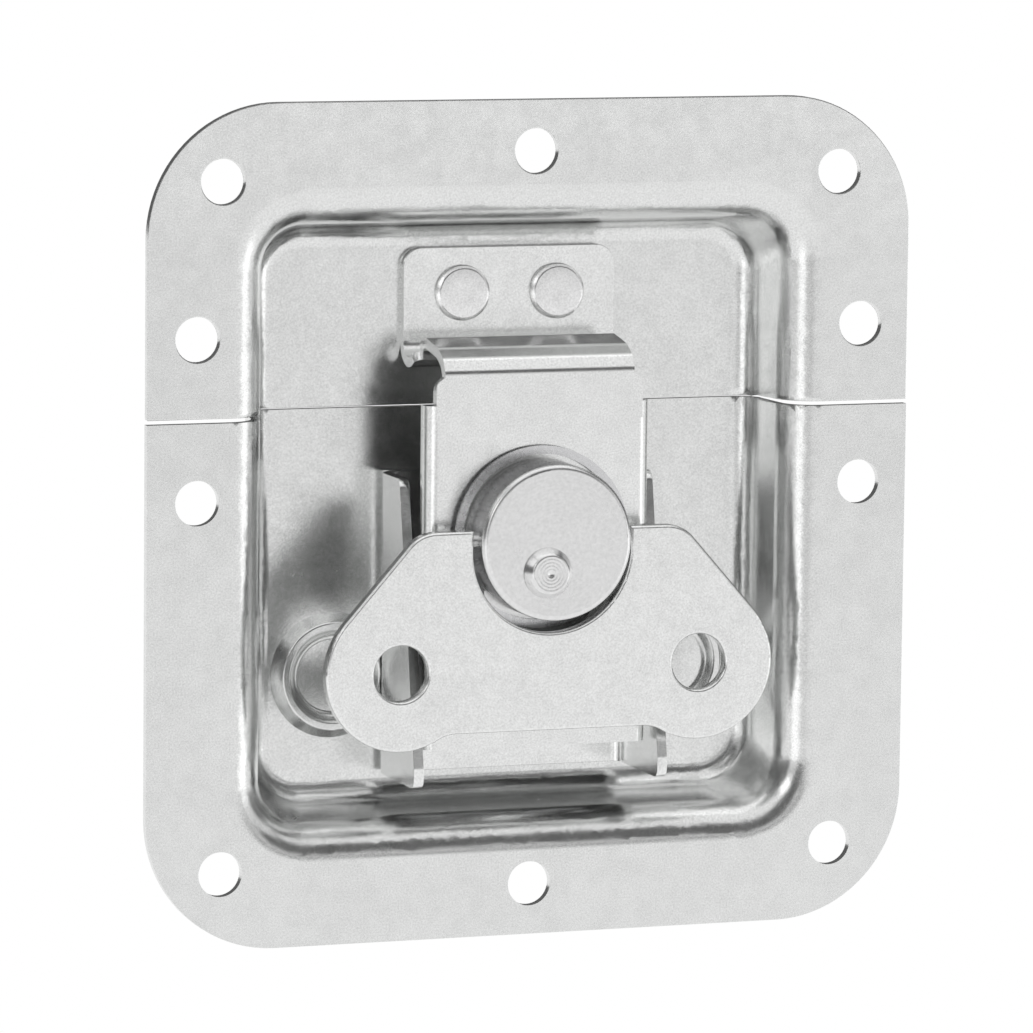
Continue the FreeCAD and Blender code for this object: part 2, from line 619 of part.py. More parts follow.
def make_spring_washer():
    """Ring cut from a sheet that is bowed about an upright line, so that its sides stand forward."""
    outer = SPRING_WASHER_RADIUS
    low_y = HOOK_FACE_Y - SPRING_WASHER_GAP
    bow_radius = (outer ** 2 + SPRING_WASHER_BOW ** 2) / (2 * SPRING_WASHER_BOW)
    centre = Vector(0, low_y - bow_radius, DRUM_Z - 2 * outer)
    upright = Vector(0, 0, 1)
    shell = Part.makeCylinder(bow_radius, 4 * outer, centre, upright)
    shell = shell.cut(Part.makeCylinder(bow_radius - SPRING_WASHER_SHEET, 4 * outer, centre, upright))
    ring = cylinder_y(outer, DRUM_FRONT_Y, HOOK_FACE_Y, 0, DRUM_Z)
    ring = ring.cut(cylinder_y(SPRING_WASHER_BORE, DRUM_FRONT_Y, HOOK_FACE_Y, 0, DRUM_Z))
    parts["spring_washer"] = ring.common(shell)


# Handle

def handle_outline():
    """Butterfly outline without its notch, as a face in the front plane."""
    angle = math.radians(HANDLE_SHOULDER_ANGLE)
    tangent_x = LOBE_X + LOBE_RADIUS * math.sin(angle)
    tangent_z = LOBE_Z + LOBE_RADIUS * math.cos(angle)
    top_x = tangent_x - (HANDLE_TOP_Z - tangent_z) / math.tan(angle)
    waist_x = LOBE_X - math.sqrt(LOBE_RADIUS ** 2 - (LOBE_Z - WAIST_Z) ** 2)
    y = HANDLE_FACE_Y
    edges = []
    for reach, z in ((top_x, HANDLE_TOP_Z), (waist_x, WAIST_Z)):
        edges.append(Part.LineSegment(point_xz(-reach, z, y), point_xz(reach, z, y)).toShape())
    for side in (-1, 1):
        outermost = point_xz(side * (LOBE_X + LOBE_RADIUS), LOBE_Z, y)
        tangent = point_xz(side * tangent_x, tangent_z, y)
        edges.append(Part.LineSegment(point_xz(side * top_x, HANDLE_TOP_Z, y), tangent).toShape())
        edges.append(Part.Arc(tangent, outermost, point_xz(side * waist_x, WAIST_Z, y)).toShape())
    return Part.Face(Part.Wire(Part.__sortEdges__(edges)))


def hinge_lug(start_x):
    """Eye of sheet thickness that stands behind the plate and takes the hinge pin."""
    end_x = start_x + HANDLE_SHEET
    root_y = HANDLE_FACE_Y + HANDLE_SHEET / 2
    web = block((start_x, end_x), (root_y, HINGE_Y), (HINGE_Z - LUG_RADIUS, HINGE_Z + LUG_RADIUS))
    eye = cylinder_x(LUG_RADIUS, start_x, end_x, HINGE_Y, HINGE_Z)
    return web.fuse(eye)


def make_handle():
    """Butterfly plate with a notch for the drum, two finger holes and two hinge lugs."""
    plate = handle_outline().extrude(Vector(0, HANDLE_SHEET, 0))
    shoulders = edges_where(plate, lambda point: near(point.z, HANDLE_TOP_Z)
                            and abs(point.x) > NOTCH_RADIUS)
    plate = plate.makeFillet(HANDLE_SHOULDER_RADIUS, shoulders)
    waist = edges_where(plate, lambda point: near(point.z, WAIST_Z) and abs(point.x) > HANDLE_WAIST_RADIUS)
    plate = plate.makeFillet(HANDLE_WAIST_RADIUS, waist)
    notch_z = DRUM_Z - NOTCH_DROP
    low_y, high_y = HANDLE_FACE_Y - HANDLE_SHEET, HINGE_Y
    openings = [cylinder_y(FINGER_HOLE_RADIUS, low_y, high_y, side * LOBE_X, LOBE_Z) for side in (-1, 1)]
    openings.append(cylinder_y(NOTCH_RADIUS, low_y, high_y, 0, notch_z))
    openings.append(slab(NOTCH_RADIUS, notch_z, notch_z + NOTCH_RADIUS, low_y, high_y))
    plate = plate.cut(openings)
    plate = plate.makeFillet(HANDLE_EDGE, edges_where(plate, lambda point: near(point.y, HANDLE_FACE_Y)))
    handle = plate.fuse([hinge_lug(LUG_START_X), hinge_lug(-LUG_END_X)]).removeSplitter()
    reach = LUG_END_X + CUT_MARGIN
    pin_room = cylinder_x(PIN_RADIUS + RUNNING_FIT, -reach, reach, HINGE_Y, HINGE_Z)
    parts["handle"] = handle.cut(pin_room)


# Leaf spring

def make_leaf_spring():
    """Forked leaf, flat under its two rivets, with prongs that rise to the back of the hook plate."""
    root_y = BRACKET_BASE_Y - LEAF_SHEET / 2
    tip_y = HOOK_BACK_Y + LEAF_TIP_GAP + LEAF_SHEET / 2
    flat_run = LEAF_FORK_Z - LEAF_BOTTOM_Z
    climb = math.degrees(math.atan2(root_y - tip_y, LEAF_TIP_Z - LEAF_FORK_Z))
    bend_loss = 2 * LEAF_BEND * math.tan(math.radians(climb) / 2)
    slope_run = (root_y - tip_y) / math.sin(math.radians(climb)) - bend_loss
    legs = [(flat_run, climb, LEAF_BEND), (slope_run, -LEAF_TIP_ANGLE, LEAF_TIP_RADIUS),
            (LEAF_TIP_RADIUS, 0, 0)]
    leaf = widen_x(bent_strip(in_yz, (root_y, LEAF_BOTTOM_Z), RIGHT_ANGLE, legs, LEAF_SHEET), LEAF_OUTER_X)
    gap_half = LEAF_OUTER_X - LEAF_PRONG_WIDTH
    leaf = leaf.cut(slab(gap_half, LEAF_FORK_Z, 2 * BRACKET_TOP_Z, HOOK_FACE_Y, FLOOR_FRONT_Y))
    for side in (-1, 1):
        leaf = leaf.cut(rivet_hole(side * BRACKET_RIVET_X, BRACKET_RIVET_Z))
    parts["lift_spring"] = leaf


make_dish_halves()
make_keeper()
make_small_rivets()
make_bracket()
make_hook_plate()
make_cam()
make_spring_washer()
make_handle()
make_pivot_rivet()
make_washers()
make_leaf_spring()

os.makedirs("parts", exist_ok=True)
for name, shape in parts.items():
    shape.exportStep(f"parts/{name}.step")
    box = shape.BoundBox
    spans = [(box.XMin, box.XMax), (box.YMin, box.YMax), (box.ZMin, box.ZMax)]
    limits = ", ".join(f"{low:.2f} to {high:.2f}" for low, high in spans)
    solids, valid = len(shape.Solids), shape.isValid()
    print(f"{name}: {solids} solid, valid {valid}, volume {shape.Volume:.1f}, {limits}")
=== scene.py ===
import json
import math

import bpy
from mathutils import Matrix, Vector

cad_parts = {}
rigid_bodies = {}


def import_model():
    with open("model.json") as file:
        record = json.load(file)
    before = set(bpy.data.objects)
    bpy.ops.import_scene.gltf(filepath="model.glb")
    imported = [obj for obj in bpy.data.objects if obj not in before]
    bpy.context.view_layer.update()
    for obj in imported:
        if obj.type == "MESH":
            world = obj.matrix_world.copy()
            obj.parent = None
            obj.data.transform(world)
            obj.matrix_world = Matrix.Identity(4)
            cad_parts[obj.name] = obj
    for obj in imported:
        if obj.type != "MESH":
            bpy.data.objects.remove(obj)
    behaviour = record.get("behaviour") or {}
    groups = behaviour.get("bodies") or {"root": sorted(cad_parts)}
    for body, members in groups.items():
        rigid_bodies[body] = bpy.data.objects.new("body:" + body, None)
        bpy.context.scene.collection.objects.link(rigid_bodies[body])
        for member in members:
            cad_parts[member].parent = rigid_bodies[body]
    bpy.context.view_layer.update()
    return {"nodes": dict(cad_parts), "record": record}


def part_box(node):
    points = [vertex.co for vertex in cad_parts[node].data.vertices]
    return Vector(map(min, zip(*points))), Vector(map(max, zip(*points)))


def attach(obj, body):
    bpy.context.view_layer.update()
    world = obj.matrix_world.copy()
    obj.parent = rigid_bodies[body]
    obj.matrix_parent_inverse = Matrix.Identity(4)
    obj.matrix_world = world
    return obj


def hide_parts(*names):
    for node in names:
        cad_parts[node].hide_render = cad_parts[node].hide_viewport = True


bl_info = {
    "name": "Recessed butterfly latch",
    "version": (1, 0, 0),
    "blender": (4, 5, 0),
    "location": "View3D > Sidebar > Latch",
    "description": "Zinc-plated butterfly latch dressed for a studio picture",
    "category": "Object",
}

# Clear what the file starts with, then load the latch's metal frame
for spare in list(bpy.data.objects):
    bpy.data.objects.remove(spare)
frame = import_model()
MM = 0.001

# Axle and drum, with their places read from the frame
AXLE_LOW, AXLE_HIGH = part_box("pivot_rivet")
AXLE_X = (AXLE_LOW.x + AXLE_HIGH.x) / 2
AXLE_Z = (AXLE_LOW.z + AXLE_HIGH.z) / 2
DRUM_X = 0.0
DRUM_RADIUS = 10.4 * MM
DRUM_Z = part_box("cam")[1].z - DRUM_RADIUS

# Ring pressings in the lower floor, set out from the recess's middle
RECESS_SHIFT = -0.3 * MM
PRESSING_X = 24.0 * MM
PRESSING_Z = -21.6 * MM
PRESSING_DISC_RADIUS = 5.3 * MM
PRESSING_CREST_RADIUS = 6.8 * MM
PRESSING_CREST_BAND = 1.1 * MM
PRESSING_SEGMENTS = 4
CREST_SMOOTHING = 0.5
CREST_PASSES = 2

# What counts as the dish's floor: points this far behind the front
FLOOR_DEPTH = 8.0 * MM
# Cut edge of a half's floor: how far in front of the back it begins, and how far in from the sides
FLOOR_BAND = 3.0 * MM
FLOOR_MARGIN = 16.0 * MM

# How near two places count as the same, when picking points and when merging them
SAME_PLACE = 0.01 * MM
MERGE_DISTANCE = 0.001 * MM

# Angles under which faces count as one flat, a sheet as smooth, and a turned form as smooth
FLAT_ANGLE = math.radians(0.2)
SHEET_SMOOTH_ANGLE = math.radians(40)
TURNED_SMOOTH_ANGLE = math.radians(35)
SHEET_EDGE_SEGMENTS = 2
TURNED_SIDES = 72

# Small rivets: heads in front, tails behind the dish
HEAD_HEIGHT = 1.0 * MM
HEAD_FOOT = 0.12 * MM
HEAD_FOOT_SHARE = 0.98
HEAD_WALL = 0.1 * MM
HEAD_WALL_SHARE = 0.99
HEAD_MARK = 0.03 * MM
HEAD_MARK_SHARE = 0.3
TAIL_HEIGHT = 1.1 * MM
TAIL_RADIUS = 3.1 * MM
SHANK_RADIUS = 1.9 * MM
# Tail's dome, as shares of its radius and of its height from the end
TAIL_DOME = ((0.7, 0.0), (0.93, 0.2), (1.0, 0.6), (1.0, 1.0))
# Head's sloping rim, as shares of its width inwards and of its height
HEAD_RIM = ((0.2, 0.75), (0.8, 0.2), (1.0, 0.06), (1.3, 0.0))

# Axle rivet
AXLE_RADIUS = 2.3 * MM
AXLE_HEAD_RADIUS = 3.35 * MM
AXLE_TOP_RADIUS = 2.65 * MM
AXLE_HEAD_HEIGHT = 1.3 * MM
AXLE_TAIL_HEIGHT = 1.8 * MM
AXLE_FACE_SHARE = 0.87
# Tail's dome, as shares of its radius and depths from its end
AXLE_TAIL_DOME = ((0.72, 0.0), (0.92, 0.12 * MM), (1.0, 0.5 * MM), (1.0, AXLE_TAIL_HEIGHT))
# Foot of the head, as shares of its radius and heights over its seat
AXLE_HEAD_FOOT = ((0.97, 0.0), (1.0, 0.12 * MM), (0.98, 0.25 * MM))
# Top of the head's cone, as shares of the top's radius and depths under its face
AXLE_CONE_TOP = ((1.06, 0.4 * MM), (1.0, 0.16 * MM), (0.94, 0.03 * MM), (AXLE_FACE_SHARE, 0.0))
# Turned ring, as shares of its pitch inwards and of its depth
RING_GROOVE = ((0.3, 1.0), (0.6, 1.0), (1.0, 0.0))
DIMPLE_RADIUS = 0.35 * MM
DIMPLE_DEPTH = 0.18 * MM
DIMPLE_CLEARANCE = 1.5
# Dimple in the head's face, as shares of its radius and depth
DIMPLE_FORM = ((1.0, 0.4), (0.4, 1.0))

# Noises of the finishes: features per metre, detail, and how rough the detail is
PLATED_CLOUDS = (90.0, 3.0, 0.5)
PLATED_SCUFFS = (420.0, 4.0, 0.65)
PLATED_GRAIN = (4200.0, 2.0, 0.5)
PLATED_WAVES = (55.0, 1.0, 0.5)
TURNED_CLOUDS = (140.0, 3.0, 0.5)
TURNED_GRAIN = (2200.0, 2.0, 0.5)
SPRING_GRAIN = (1800.0, 3.0, 0.5)

# Tones: share of the clouds, share of the grain, then the darkest and the lightest shade of the colour
PLATED_TONE = (0.4, 2.2, 0.88, 1.08)
TURNED_TONE = (0.8, 1.6, 0.88, 1.02)
SPRING_DARK = 0.85

# Roughness: range of the noise, and what is added to the clean roughness at its ends
PLATED_DULLING = (0.35, 0.75, 0.0, 0.09)
TURNED_DULLING = (0.3, 0.7, 0.02, 0.10)
SPRING_DULLING = (0.3, 0.7, 0.04, 0.14)

# Turning marks: pitch on the drum and on the axle, and depths of marks and grain as shares of the grain depth
DRUM_PITCH = 0.5 * MM
AXLE_PITCH = 0.42 * MM
MARK_SHARE = 0.084
GRAIN_SHARE = 0.56

# How wavy the flat plates and the rivets are, next to the pressed dish
PLATE_WAVINESS = 0.5
RIVET_WAVINESS = 0.3

# Middle of a noise, and white
MIDDLE = 0.5
WHITE = (1.0, 1.0, 1.0, 1.0)

# Floor: its size, how far round its middle the shadow shows in full and at all, and the white over it there
FLOOR_SIZE = 12.0
SHADOW_NEAR = 0.3
SHADOW_FAR = 0.6
SHADOW_WHITE = 0.75

# Painted shade: a darker patch of the floor on the camera's bearing, nearly two metres in front of the latch
# and to the left, which the steel mirrors:
# its middle, its core, where it ends, and its share of the floor's glow
SHADE_PATCH_PLACE = (-0.645, -1.81, 0.0)
SHADE_PATCH_CORE = 0.2
SHADE_PATCH_EDGE = 0.5
SHADE_PATCH_LEVEL = 0.35

# Lamps: name, azimuth and elevation in degrees, width and height in metres, and brightness of the face
LAMP_DISTANCE = 0.80
LAMPS = (
    ("front right box", 20.5, 4.0, 0.87, 0.12, 0.6),
    ("side right box", 58.0, 5.0, 0.32, 0.70, 0.6),
    ("left box", -44.0, -2.0, 0.30, 0.60, 0.5),
    ("upper left box", -40.0, 24.0, 0.30, 0.30, 1.6),
    ("high front box", 12.0, 54.0, 1.15, 0.49, 0.8),
    ("overhead box", 5.0, 92.0, 1.05, 0.62, 1.0),
    ("left side box", -88.0, 38.0, 0.40, 0.45, 1.0),
)

# Camera's sensor width in millimetres, and how far it sees in metres
SENSOR_WIDTH = 36.0
SIGHT = 30.0


class LatchFinish(bpy.types.PropertyGroup):
    """Colours and surface values of the plated steel."""

    dish_colour: bpy.props.FloatVectorProperty(
        name="Dish colour", description="Colour of the pressed dish halves", subtype="COLOR",
        size=3, min=0.0, max=1.0, default=(0.80, 0.805, 0.80))
    plate_colour: bpy.props.FloatVectorProperty(
        name="Plate colour", description="Colour of the flat plates and the handle", subtype="COLOR",
        size=3, min=0.0, max=1.0, default=(0.86, 0.865, 0.86))
    turned_colour: bpy.props.FloatVectorProperty(
        name="Turned colour", description="Colour of the drum, rivets, pin and flat washers", subtype="COLOR",
        size=3, min=0.0, max=1.0, default=(0.85, 0.85, 0.85))
    spring_colour: bpy.props.FloatVectorProperty(
        name="Spring colour", description="Colour of the spring steel", subtype="COLOR",
        size=3, min=0.0, max=1.0, default=(0.80, 0.80, 0.81))
    gloss_roughness: bpy.props.FloatProperty(
        name="Roughness", description="Roughness of clean bright zinc", subtype="FACTOR",
        min=0.0, max=1.0, default=0.19)
    grain_depth: bpy.props.FloatProperty(
        name="Grain depth", description="Height of the fine plating grain", unit="LENGTH",
        min=0.0, default=0.006 * MM)
    wave_depth: bpy.props.FloatProperty(
        name="Wave depth", description="Height of the slow unevenness of pressed sheet", unit="LENGTH",
        min=0.0, default=0.004 * MM)


class LatchEdges(bpy.types.PropertyGroup):
    """Edge rounding of the cut sheets and shape of the rivet heads."""

    sheet_round: bpy.props.FloatProperty(
        name="Sheet edge", description="Rounding of a cut sheet edge", unit="LENGTH",
        min=0.0, default=0.16 * MM)
    sharp_angle: bpy.props.FloatProperty(
        name="Sharp angle", description="Edges that turn by more than this are rounded", unit="ROTATION",
        subtype="ANGLE", default=math.radians(38))
    head_bevel: bpy.props.FloatProperty(
        name="Head bevel", description="Width of the sloping rim of a small rivet's head", unit="LENGTH",
        min=0.0, default=0.42 * MM)
    head_slope: bpy.props.FloatProperty(
        name="Head slope", description="Slope of that rim", unit="ROTATION",
        subtype="ANGLE", default=math.radians(32))
    pressing_round: bpy.props.FloatProperty(
        name="Pressing corner", description="Rounding of the corner between a ring pressing and its disc",
        unit="LENGTH", min=0.0, default=0.5 * MM)
    split_closure: bpy.props.FloatProperty(
        name="Split closure", description="How far each half's floor reaches towards the other",
        unit="LENGTH", min=0.0, default=0.2 * MM)
    ring_count: bpy.props.IntProperty(
        name="Head rings", description="Turned rings on the axle rivet's head", min=1, default=4)
    ring_depth: bpy.props.FloatProperty(
        name="Ring depth", description="Depth of a turned ring", unit="LENGTH",
        min=0.0, default=0.03 * MM)


class LatchStudio(bpy.types.PropertyGroup):
    """Floor, room and camera."""

    floor_drop: bpy.props.FloatProperty(
        name="Floor drop", description="Height of the origin over the floor", unit="LENGTH",
        min=0.0, default=0.25)
    floor_colour: bpy.props.FloatVectorProperty(
        name="Floor colour", description="Colour of the floor", subtype="COLOR",
        size=3, min=0.0, max=1.0, default=(0.82, 0.82, 0.82))
    floor_glow: bpy.props.FloatProperty(
        name="Floor glow", description="Share of white that the metal mirrors from the floor",
        subtype="FACTOR", min=0.0, max=1.0, default=0.95)
    room_light: bpy.props.FloatProperty(
        name="Room light", description="Strength of the grey room round the lamps", min=0.0, default=0.12)
    camera_place: bpy.props.FloatVectorProperty(
        name="Camera place", description="Where the camera stands", subtype="TRANSLATION", unit="LENGTH",
        size=3, default=(-0.30221, -0.84430, 0.11609))
    camera_turn: bpy.props.FloatVectorProperty(
        name="Camera turn", description="How the camera is turned", subtype="EULER", unit="ROTATION",
        size=3, default=tuple(math.radians(angle) for angle in (82.63890, -0.59716, -19.50340)))
    camera_lens: bpy.props.FloatProperty(
        name="Lens", description="Focal length in millimetres", min=1.0, default=236.509)


# Shader maths

class Wire:
    """A shader socket that arithmetic can be written on."""

    def __init__(self, shader, socket):
        self.shader = shader
        self.socket = socket

    def _join(self, operation, first, second=None):
        values = [first] if second is None else [first, second]
        return self.shader.node("ShaderNodeMath", {"operation": operation}, dict(enumerate(values)))

    def __add__(self, other):
        return self._join("ADD", self, other)

    __radd__ = __add__

    def __sub__(self, other):
        return self._join("SUBTRACT", self, other)

    def __rsub__(self, other):
        return self._join("SUBTRACT", other, self)

    def __mul__(self, other):
        return self._join("MULTIPLY", self, other)

    __rmul__ = __mul__

    def sine(self):
        return self._join("SINE", self)


class Shader:
    """The node tree of a material or of the world."""

    def __init__(self, owner):
        self.owner = owner
        owner.use_nodes = True
        self.tree = owner.node_tree
        self.tree.nodes.clear()

    def node(self, kind, settings=None, sockets=None, out=0):
        """Add a node, set it up, feed its sockets and return one of its outputs."""
        node = self.tree.nodes.new(kind)
        for name, value in (settings or {}).items():
            setattr(node, name, value)
        for name, value in (sockets or {}).items():
            socket = node.inputs[name]
            if isinstance(value, Wire):
                self.tree.links.new(value.socket, socket)
            else:
                socket.default_value = value
        return Wire(self, node.outputs[out]) if node.outputs else None

    def place(self):
        """Object coordinates in metres."""
        return self.node("ShaderNodeTexCoord", out="Object")

    def noise(self, place, kind):
        """Noise about its middle, of a kind given by its scale, detail and roughness."""
        scale, detail, roughness = kind
        sockets = {"Vector": place, "Scale": scale, "Detail": detail, "Roughness": roughness}
        return self.node("ShaderNodeTexNoise", {}, sockets)

    def span(self, value, low, high, to_low, to_high):
        """Map a value from one range to another, held at its ends."""
        sockets = {"Value": value, "From Min": low, "From Max": high, "To Min": to_low, "To Max": to_high}
        return self.node("ShaderNodeMapRange", {"clamp": True}, sockets)

    def blend(self, share, first, second):
        """Mix two colours, which the node takes at sockets 6 and 7 and gives at its socket 2."""
        sockets = {"Factor": share, 6: first, 7: second}
        return self.node("ShaderNodeMix", {"data_type": "RGBA"}, sockets, out=2)

    def bump(self, height):
        """Surface relief from a height in metres."""
        return self.node("ShaderNodeBump", {}, {"Height": height, "Distance": 1.0})

    def apart(self, place, centre):
        """Distance from a point."""
        sockets = {0: place, 1: centre}
        return self.node("ShaderNodeVectorMath", {"operation": "DISTANCE"}, sockets, out="Value")

    def radius(self, place, centre_x, centre_z):
        """Distance from a line along Y."""
        flat = self.node("ShaderNodeVectorMath", {"operation": "MULTIPLY"}, {0: place, 1: (1.0, 0.0, 1.0)})
        return self.apart(flat, (centre_x, 0.0, centre_z))

    def mottle(self, colour, clouds, grain, tone):
        """Colour that clouds and grain move between a dark and a light shade."""
        cloud_share, grain_share, dark, light = tone
        level = (clouds - MIDDLE) * cloud_share + (grain - MIDDLE) * grain_share + MIDDLE
        level = self.span(level, 0.0, 1.0, 0.0, 1.0)
        return self.blend(level, rgba(colour, dark), rgba(colour, light))

    def dulled(self, clean, noise, dulling):
        """Roughness that a noise raises over the clean one."""
        low, high, least, most = dulling
        return self.span(noise, low, high, clean + least, clean + most)

    def metal(self, colour, roughness, normal):
        """Finish the tree as bare metal."""
        sockets = {"Base Color": colour, "Metallic": 1.0, "Roughness": roughness, "Normal": normal}
        surface = self.node("ShaderNodeBsdfPrincipled", {}, sockets)
        self.node("ShaderNodeOutputMaterial", {}, {"Surface": surface})
        return self.owner


def rgba(colour, shade=1.0):
    return tuple(channel * shade for channel in colour) + (1.0,)


def plated_steel(name, colour, finish, waviness=1.0):
    """Bright zinc on sheet steel: faint clouds, fine grain and slow waves."""
    shader = Shader(bpy.data.materials.new(name))
    place = shader.place()
    clouds = shader.noise(place, PLATED_CLOUDS)
    grain = shader.noise(place, PLATED_GRAIN)
    scuffs = shader.noise(place, PLATED_SCUFFS)
    waves = shader.noise(place, PLATED_WAVES)
    base = shader.mottle(colour, clouds, grain, PLATED_TONE)
    rough = shader.dulled(finish.gloss_roughness, scuffs, PLATED_DULLING)
    height = grain * finish.grain_depth + waves * (finish.wave_depth * waviness)
    return shader.metal(base, rough, shader.bump(height))


def turned_steel(name, colour, finish, centre_x, centre_z, pitch):
    """Bright turned steel with faint turning marks round a line along Y."""
    shader = Shader(bpy.data.materials.new(name))
    place = shader.place()
    marks = (shader.radius(place, centre_x, centre_z) * (2 * math.pi / pitch)).sine()
    clouds = shader.noise(place, TURNED_CLOUDS)
    grain = shader.noise(place, TURNED_GRAIN)
    base = shader.mottle(colour, clouds, grain, TURNED_TONE)
    rough = shader.dulled(finish.gloss_roughness, clouds, TURNED_DULLING)
    height = (marks * MARK_SHARE + grain * GRAIN_SHARE) * finish.grain_depth
    return shader.metal(base, rough, shader.bump(height))


def spring_steel(name, colour, finish):
    """Plain spring steel, a little duller."""
    shader = Shader(bpy.data.materials.new(name))
    grain = shader.noise(shader.place(), SPRING_GRAIN)
    base = shader.blend(grain, rgba(colour, SPRING_DARK), rgba(colour))
    rough = shader.dulled(finish.gloss_roughness, grain, SPRING_DULLING)
    return shader.metal(base, rough, shader.bump(grain * finish.grain_depth))


# Modelling helpers

def body_of_node(node):
    """Name of the moving body that holds a node."""
    groups = frame["record"]["behaviour"]["bodies"]
    return next(body for body, nodes in groups.items() if node in nodes)


def work_on(piece):
    """Make one object the only selected and active one."""
    bpy.ops.object.select_all(action="DESELECT")
    piece.select_set(True)
    bpy.context.view_layer.objects.active = piece


def paint(piece, material):
    piece.data.materials.clear()
    piece.data.materials.append(material)


def settle(piece, node, material):
    """Give a finished piece its material and let it stand for a node on that node's body."""
    paint(piece, material)
    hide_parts(node)
    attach(piece, body_of_node(node))


def copy_of(node, name):
    """A loose copy of a node's mesh with its doubles merged and its flat faces joined."""
    work_on(frame["nodes"][node])
    bpy.ops.object.duplicate()
    piece = bpy.context.active_object
    piece.name = name
    piece.parent = None
    for key in list(piece.keys()):
        del piece[key]
    bpy.ops.mesh.customdata_custom_splitnormals_clear()
    bpy.ops.object.mode_set(mode="EDIT")
    bpy.ops.mesh.select_all(action="SELECT")
    bpy.ops.mesh.remove_doubles(threshold=MERGE_DISTANCE)
    bpy.ops.mesh.dissolve_limited(angle_limit=FLAT_ANGLE)
    bpy.ops.object.mode_set(mode="OBJECT")
    return piece


def copy_aside(piece, name, shift_x):
    """A copy of a new piece with its own mesh, moved sideways."""
    work_on(piece)
    bpy.ops.object.duplicate()
    twin = bpy.context.active_object
    twin.name = name
    bpy.ops.transform.translate(value=(shift_x, 0.0, 0.0))
    bpy.ops.object.transform_apply(location=True, rotation=True, scale=True)
    return twin


def select_where(piece, test, kind="VERT"):
    """In edit mode, select only the points that pass a test, or the edges between them."""
    bpy.ops.mesh.select_mode(type="VERT")
    bpy.ops.mesh.select_all(action="DESELECT")
    bpy.ops.object.mode_set(mode="OBJECT")
    chosen = 0
    for vertex in piece.data.vertices:
        vertex.select = test(vertex.co)
        chosen += vertex.select
    bpy.ops.object.mode_set(mode="EDIT")
    bpy.ops.mesh.select_mode(type=kind)
    if not chosen:
        raise RuntimeError(f"nothing to work on in {piece.name}")


def soften_pressings(piece, round_width):
    """Round each ring pressing's crest and the corner between the ring and its disc."""
    low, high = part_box("lower_dish")
    middle_x = (low.x + high.x) / 2 + RECESS_SHIFT

    def near_ring(centre_x, radius, reach):
        """A test for points of the floor that lie near a circle round a pressing's centre."""
        return lambda point: (
            point.y > low.y + FLOOR_DEPTH
            and abs(math.hypot(point.x - centre_x, point.z - PRESSING_Z) - radius) < reach)

    work_on(piece)
    bpy.ops.object.mode_set(mode="EDIT")
    for side in (-1, 1):
        centre_x = middle_x + side * PRESSING_X
        select_where(piece, near_ring(centre_x, PRESSING_DISC_RADIUS, SAME_PLACE), "EDGE")
        bpy.ops.mesh.bevel(offset=round_width, segments=PRESSING_SEGMENTS, affect="EDGES")
        select_where(piece, near_ring(centre_x, PRESSING_CREST_RADIUS, PRESSING_CREST_BAND))
        bpy.ops.mesh.vertices_smooth(factor=CREST_SMOOTHING, repeat=CREST_PASSES)
    bpy.ops.object.mode_set(mode="OBJECT")


def close_split(piece, split_z, closure):
    """Draw the cut edge of a dish half's floor towards the other half."""
    low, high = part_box("lower_dish")
    floor_y = high.y - FLOOR_BAND
    inner_x = (high.x - low.x) / 2 - FLOOR_MARGIN
    work_on(piece)
    bpy.ops.object.mode_set(mode="EDIT")
    select_where(piece, lambda point: abs(point.z - split_z) < SAME_PLACE
                 and point.y > floor_y and abs(point.x) < inner_x)
    bpy.ops.transform.translate(value=(0.0, 0.0, closure))
    bpy.ops.object.mode_set(mode="OBJECT")


def round_edges(piece, width, sharp_angle):
    """Round the sharp edges of a sheet and smooth what lies between them."""
    work_on(piece)
    bevel = piece.modifiers.new("Edge rounding", "BEVEL")
    bevel.limit_method = "ANGLE"
    bevel.angle_limit = sharp_angle
    bevel.width = width
    bevel.segments = SHEET_EDGE_SEGMENTS
    bpy.ops.object.modifier_apply(modifier=bevel.name)
    bpy.ops.object.shade_smooth_by_angle(angle=SHEET_SMOOTH_ANGLE)
    flatten = piece.modifiers.new("Flat faces stay flat", "WEIGHTED_NORMAL")
    flatten.keep_sharp = True
    bpy.ops.object.modifier_apply(modifier=flatten.name)


def turned(name, x, z, profile):
    """Turned solid about a line along Y: a disc drawn out ring by ring through radius and Y pairs."""
    bpy.ops.object.select_all(action="DESELECT")
    last_radius, last_y = profile[0]
    bpy.ops.mesh.primitive_circle_add(vertices=TURNED_SIDES, radius=last_radius, fill_type="NGON",
                                      location=(x, last_y, z), rotation=(math.pi / 2, 0.0, 0.0))
    piece = bpy.context.active_object
    piece.name = name
    bpy.ops.object.transform_apply(location=True, rotation=True, scale=True)
    bpy.ops.object.mode_set(mode="EDIT")
    for radius, y in profile[1:]:
        bpy.ops.mesh.extrude_region_move(TRANSFORM_OT_translate={"value": (0.0, y - last_y, 0.0)})
        share = radius / last_radius
        bpy.ops.transform.resize(value=(share, 1.0, share), center_override=(x, y, z))
        last_radius, last_y = radius, y
    bpy.ops.mesh.select_all(action="SELECT")
    bpy.ops.mesh.normals_make_consistent(inside=False)
    bpy.ops.object.mode_set(mode="OBJECT")
    bpy.ops.object.shade_smooth_by_angle(angle=TURNED_SMOOTH_ANGLE)
    return piece


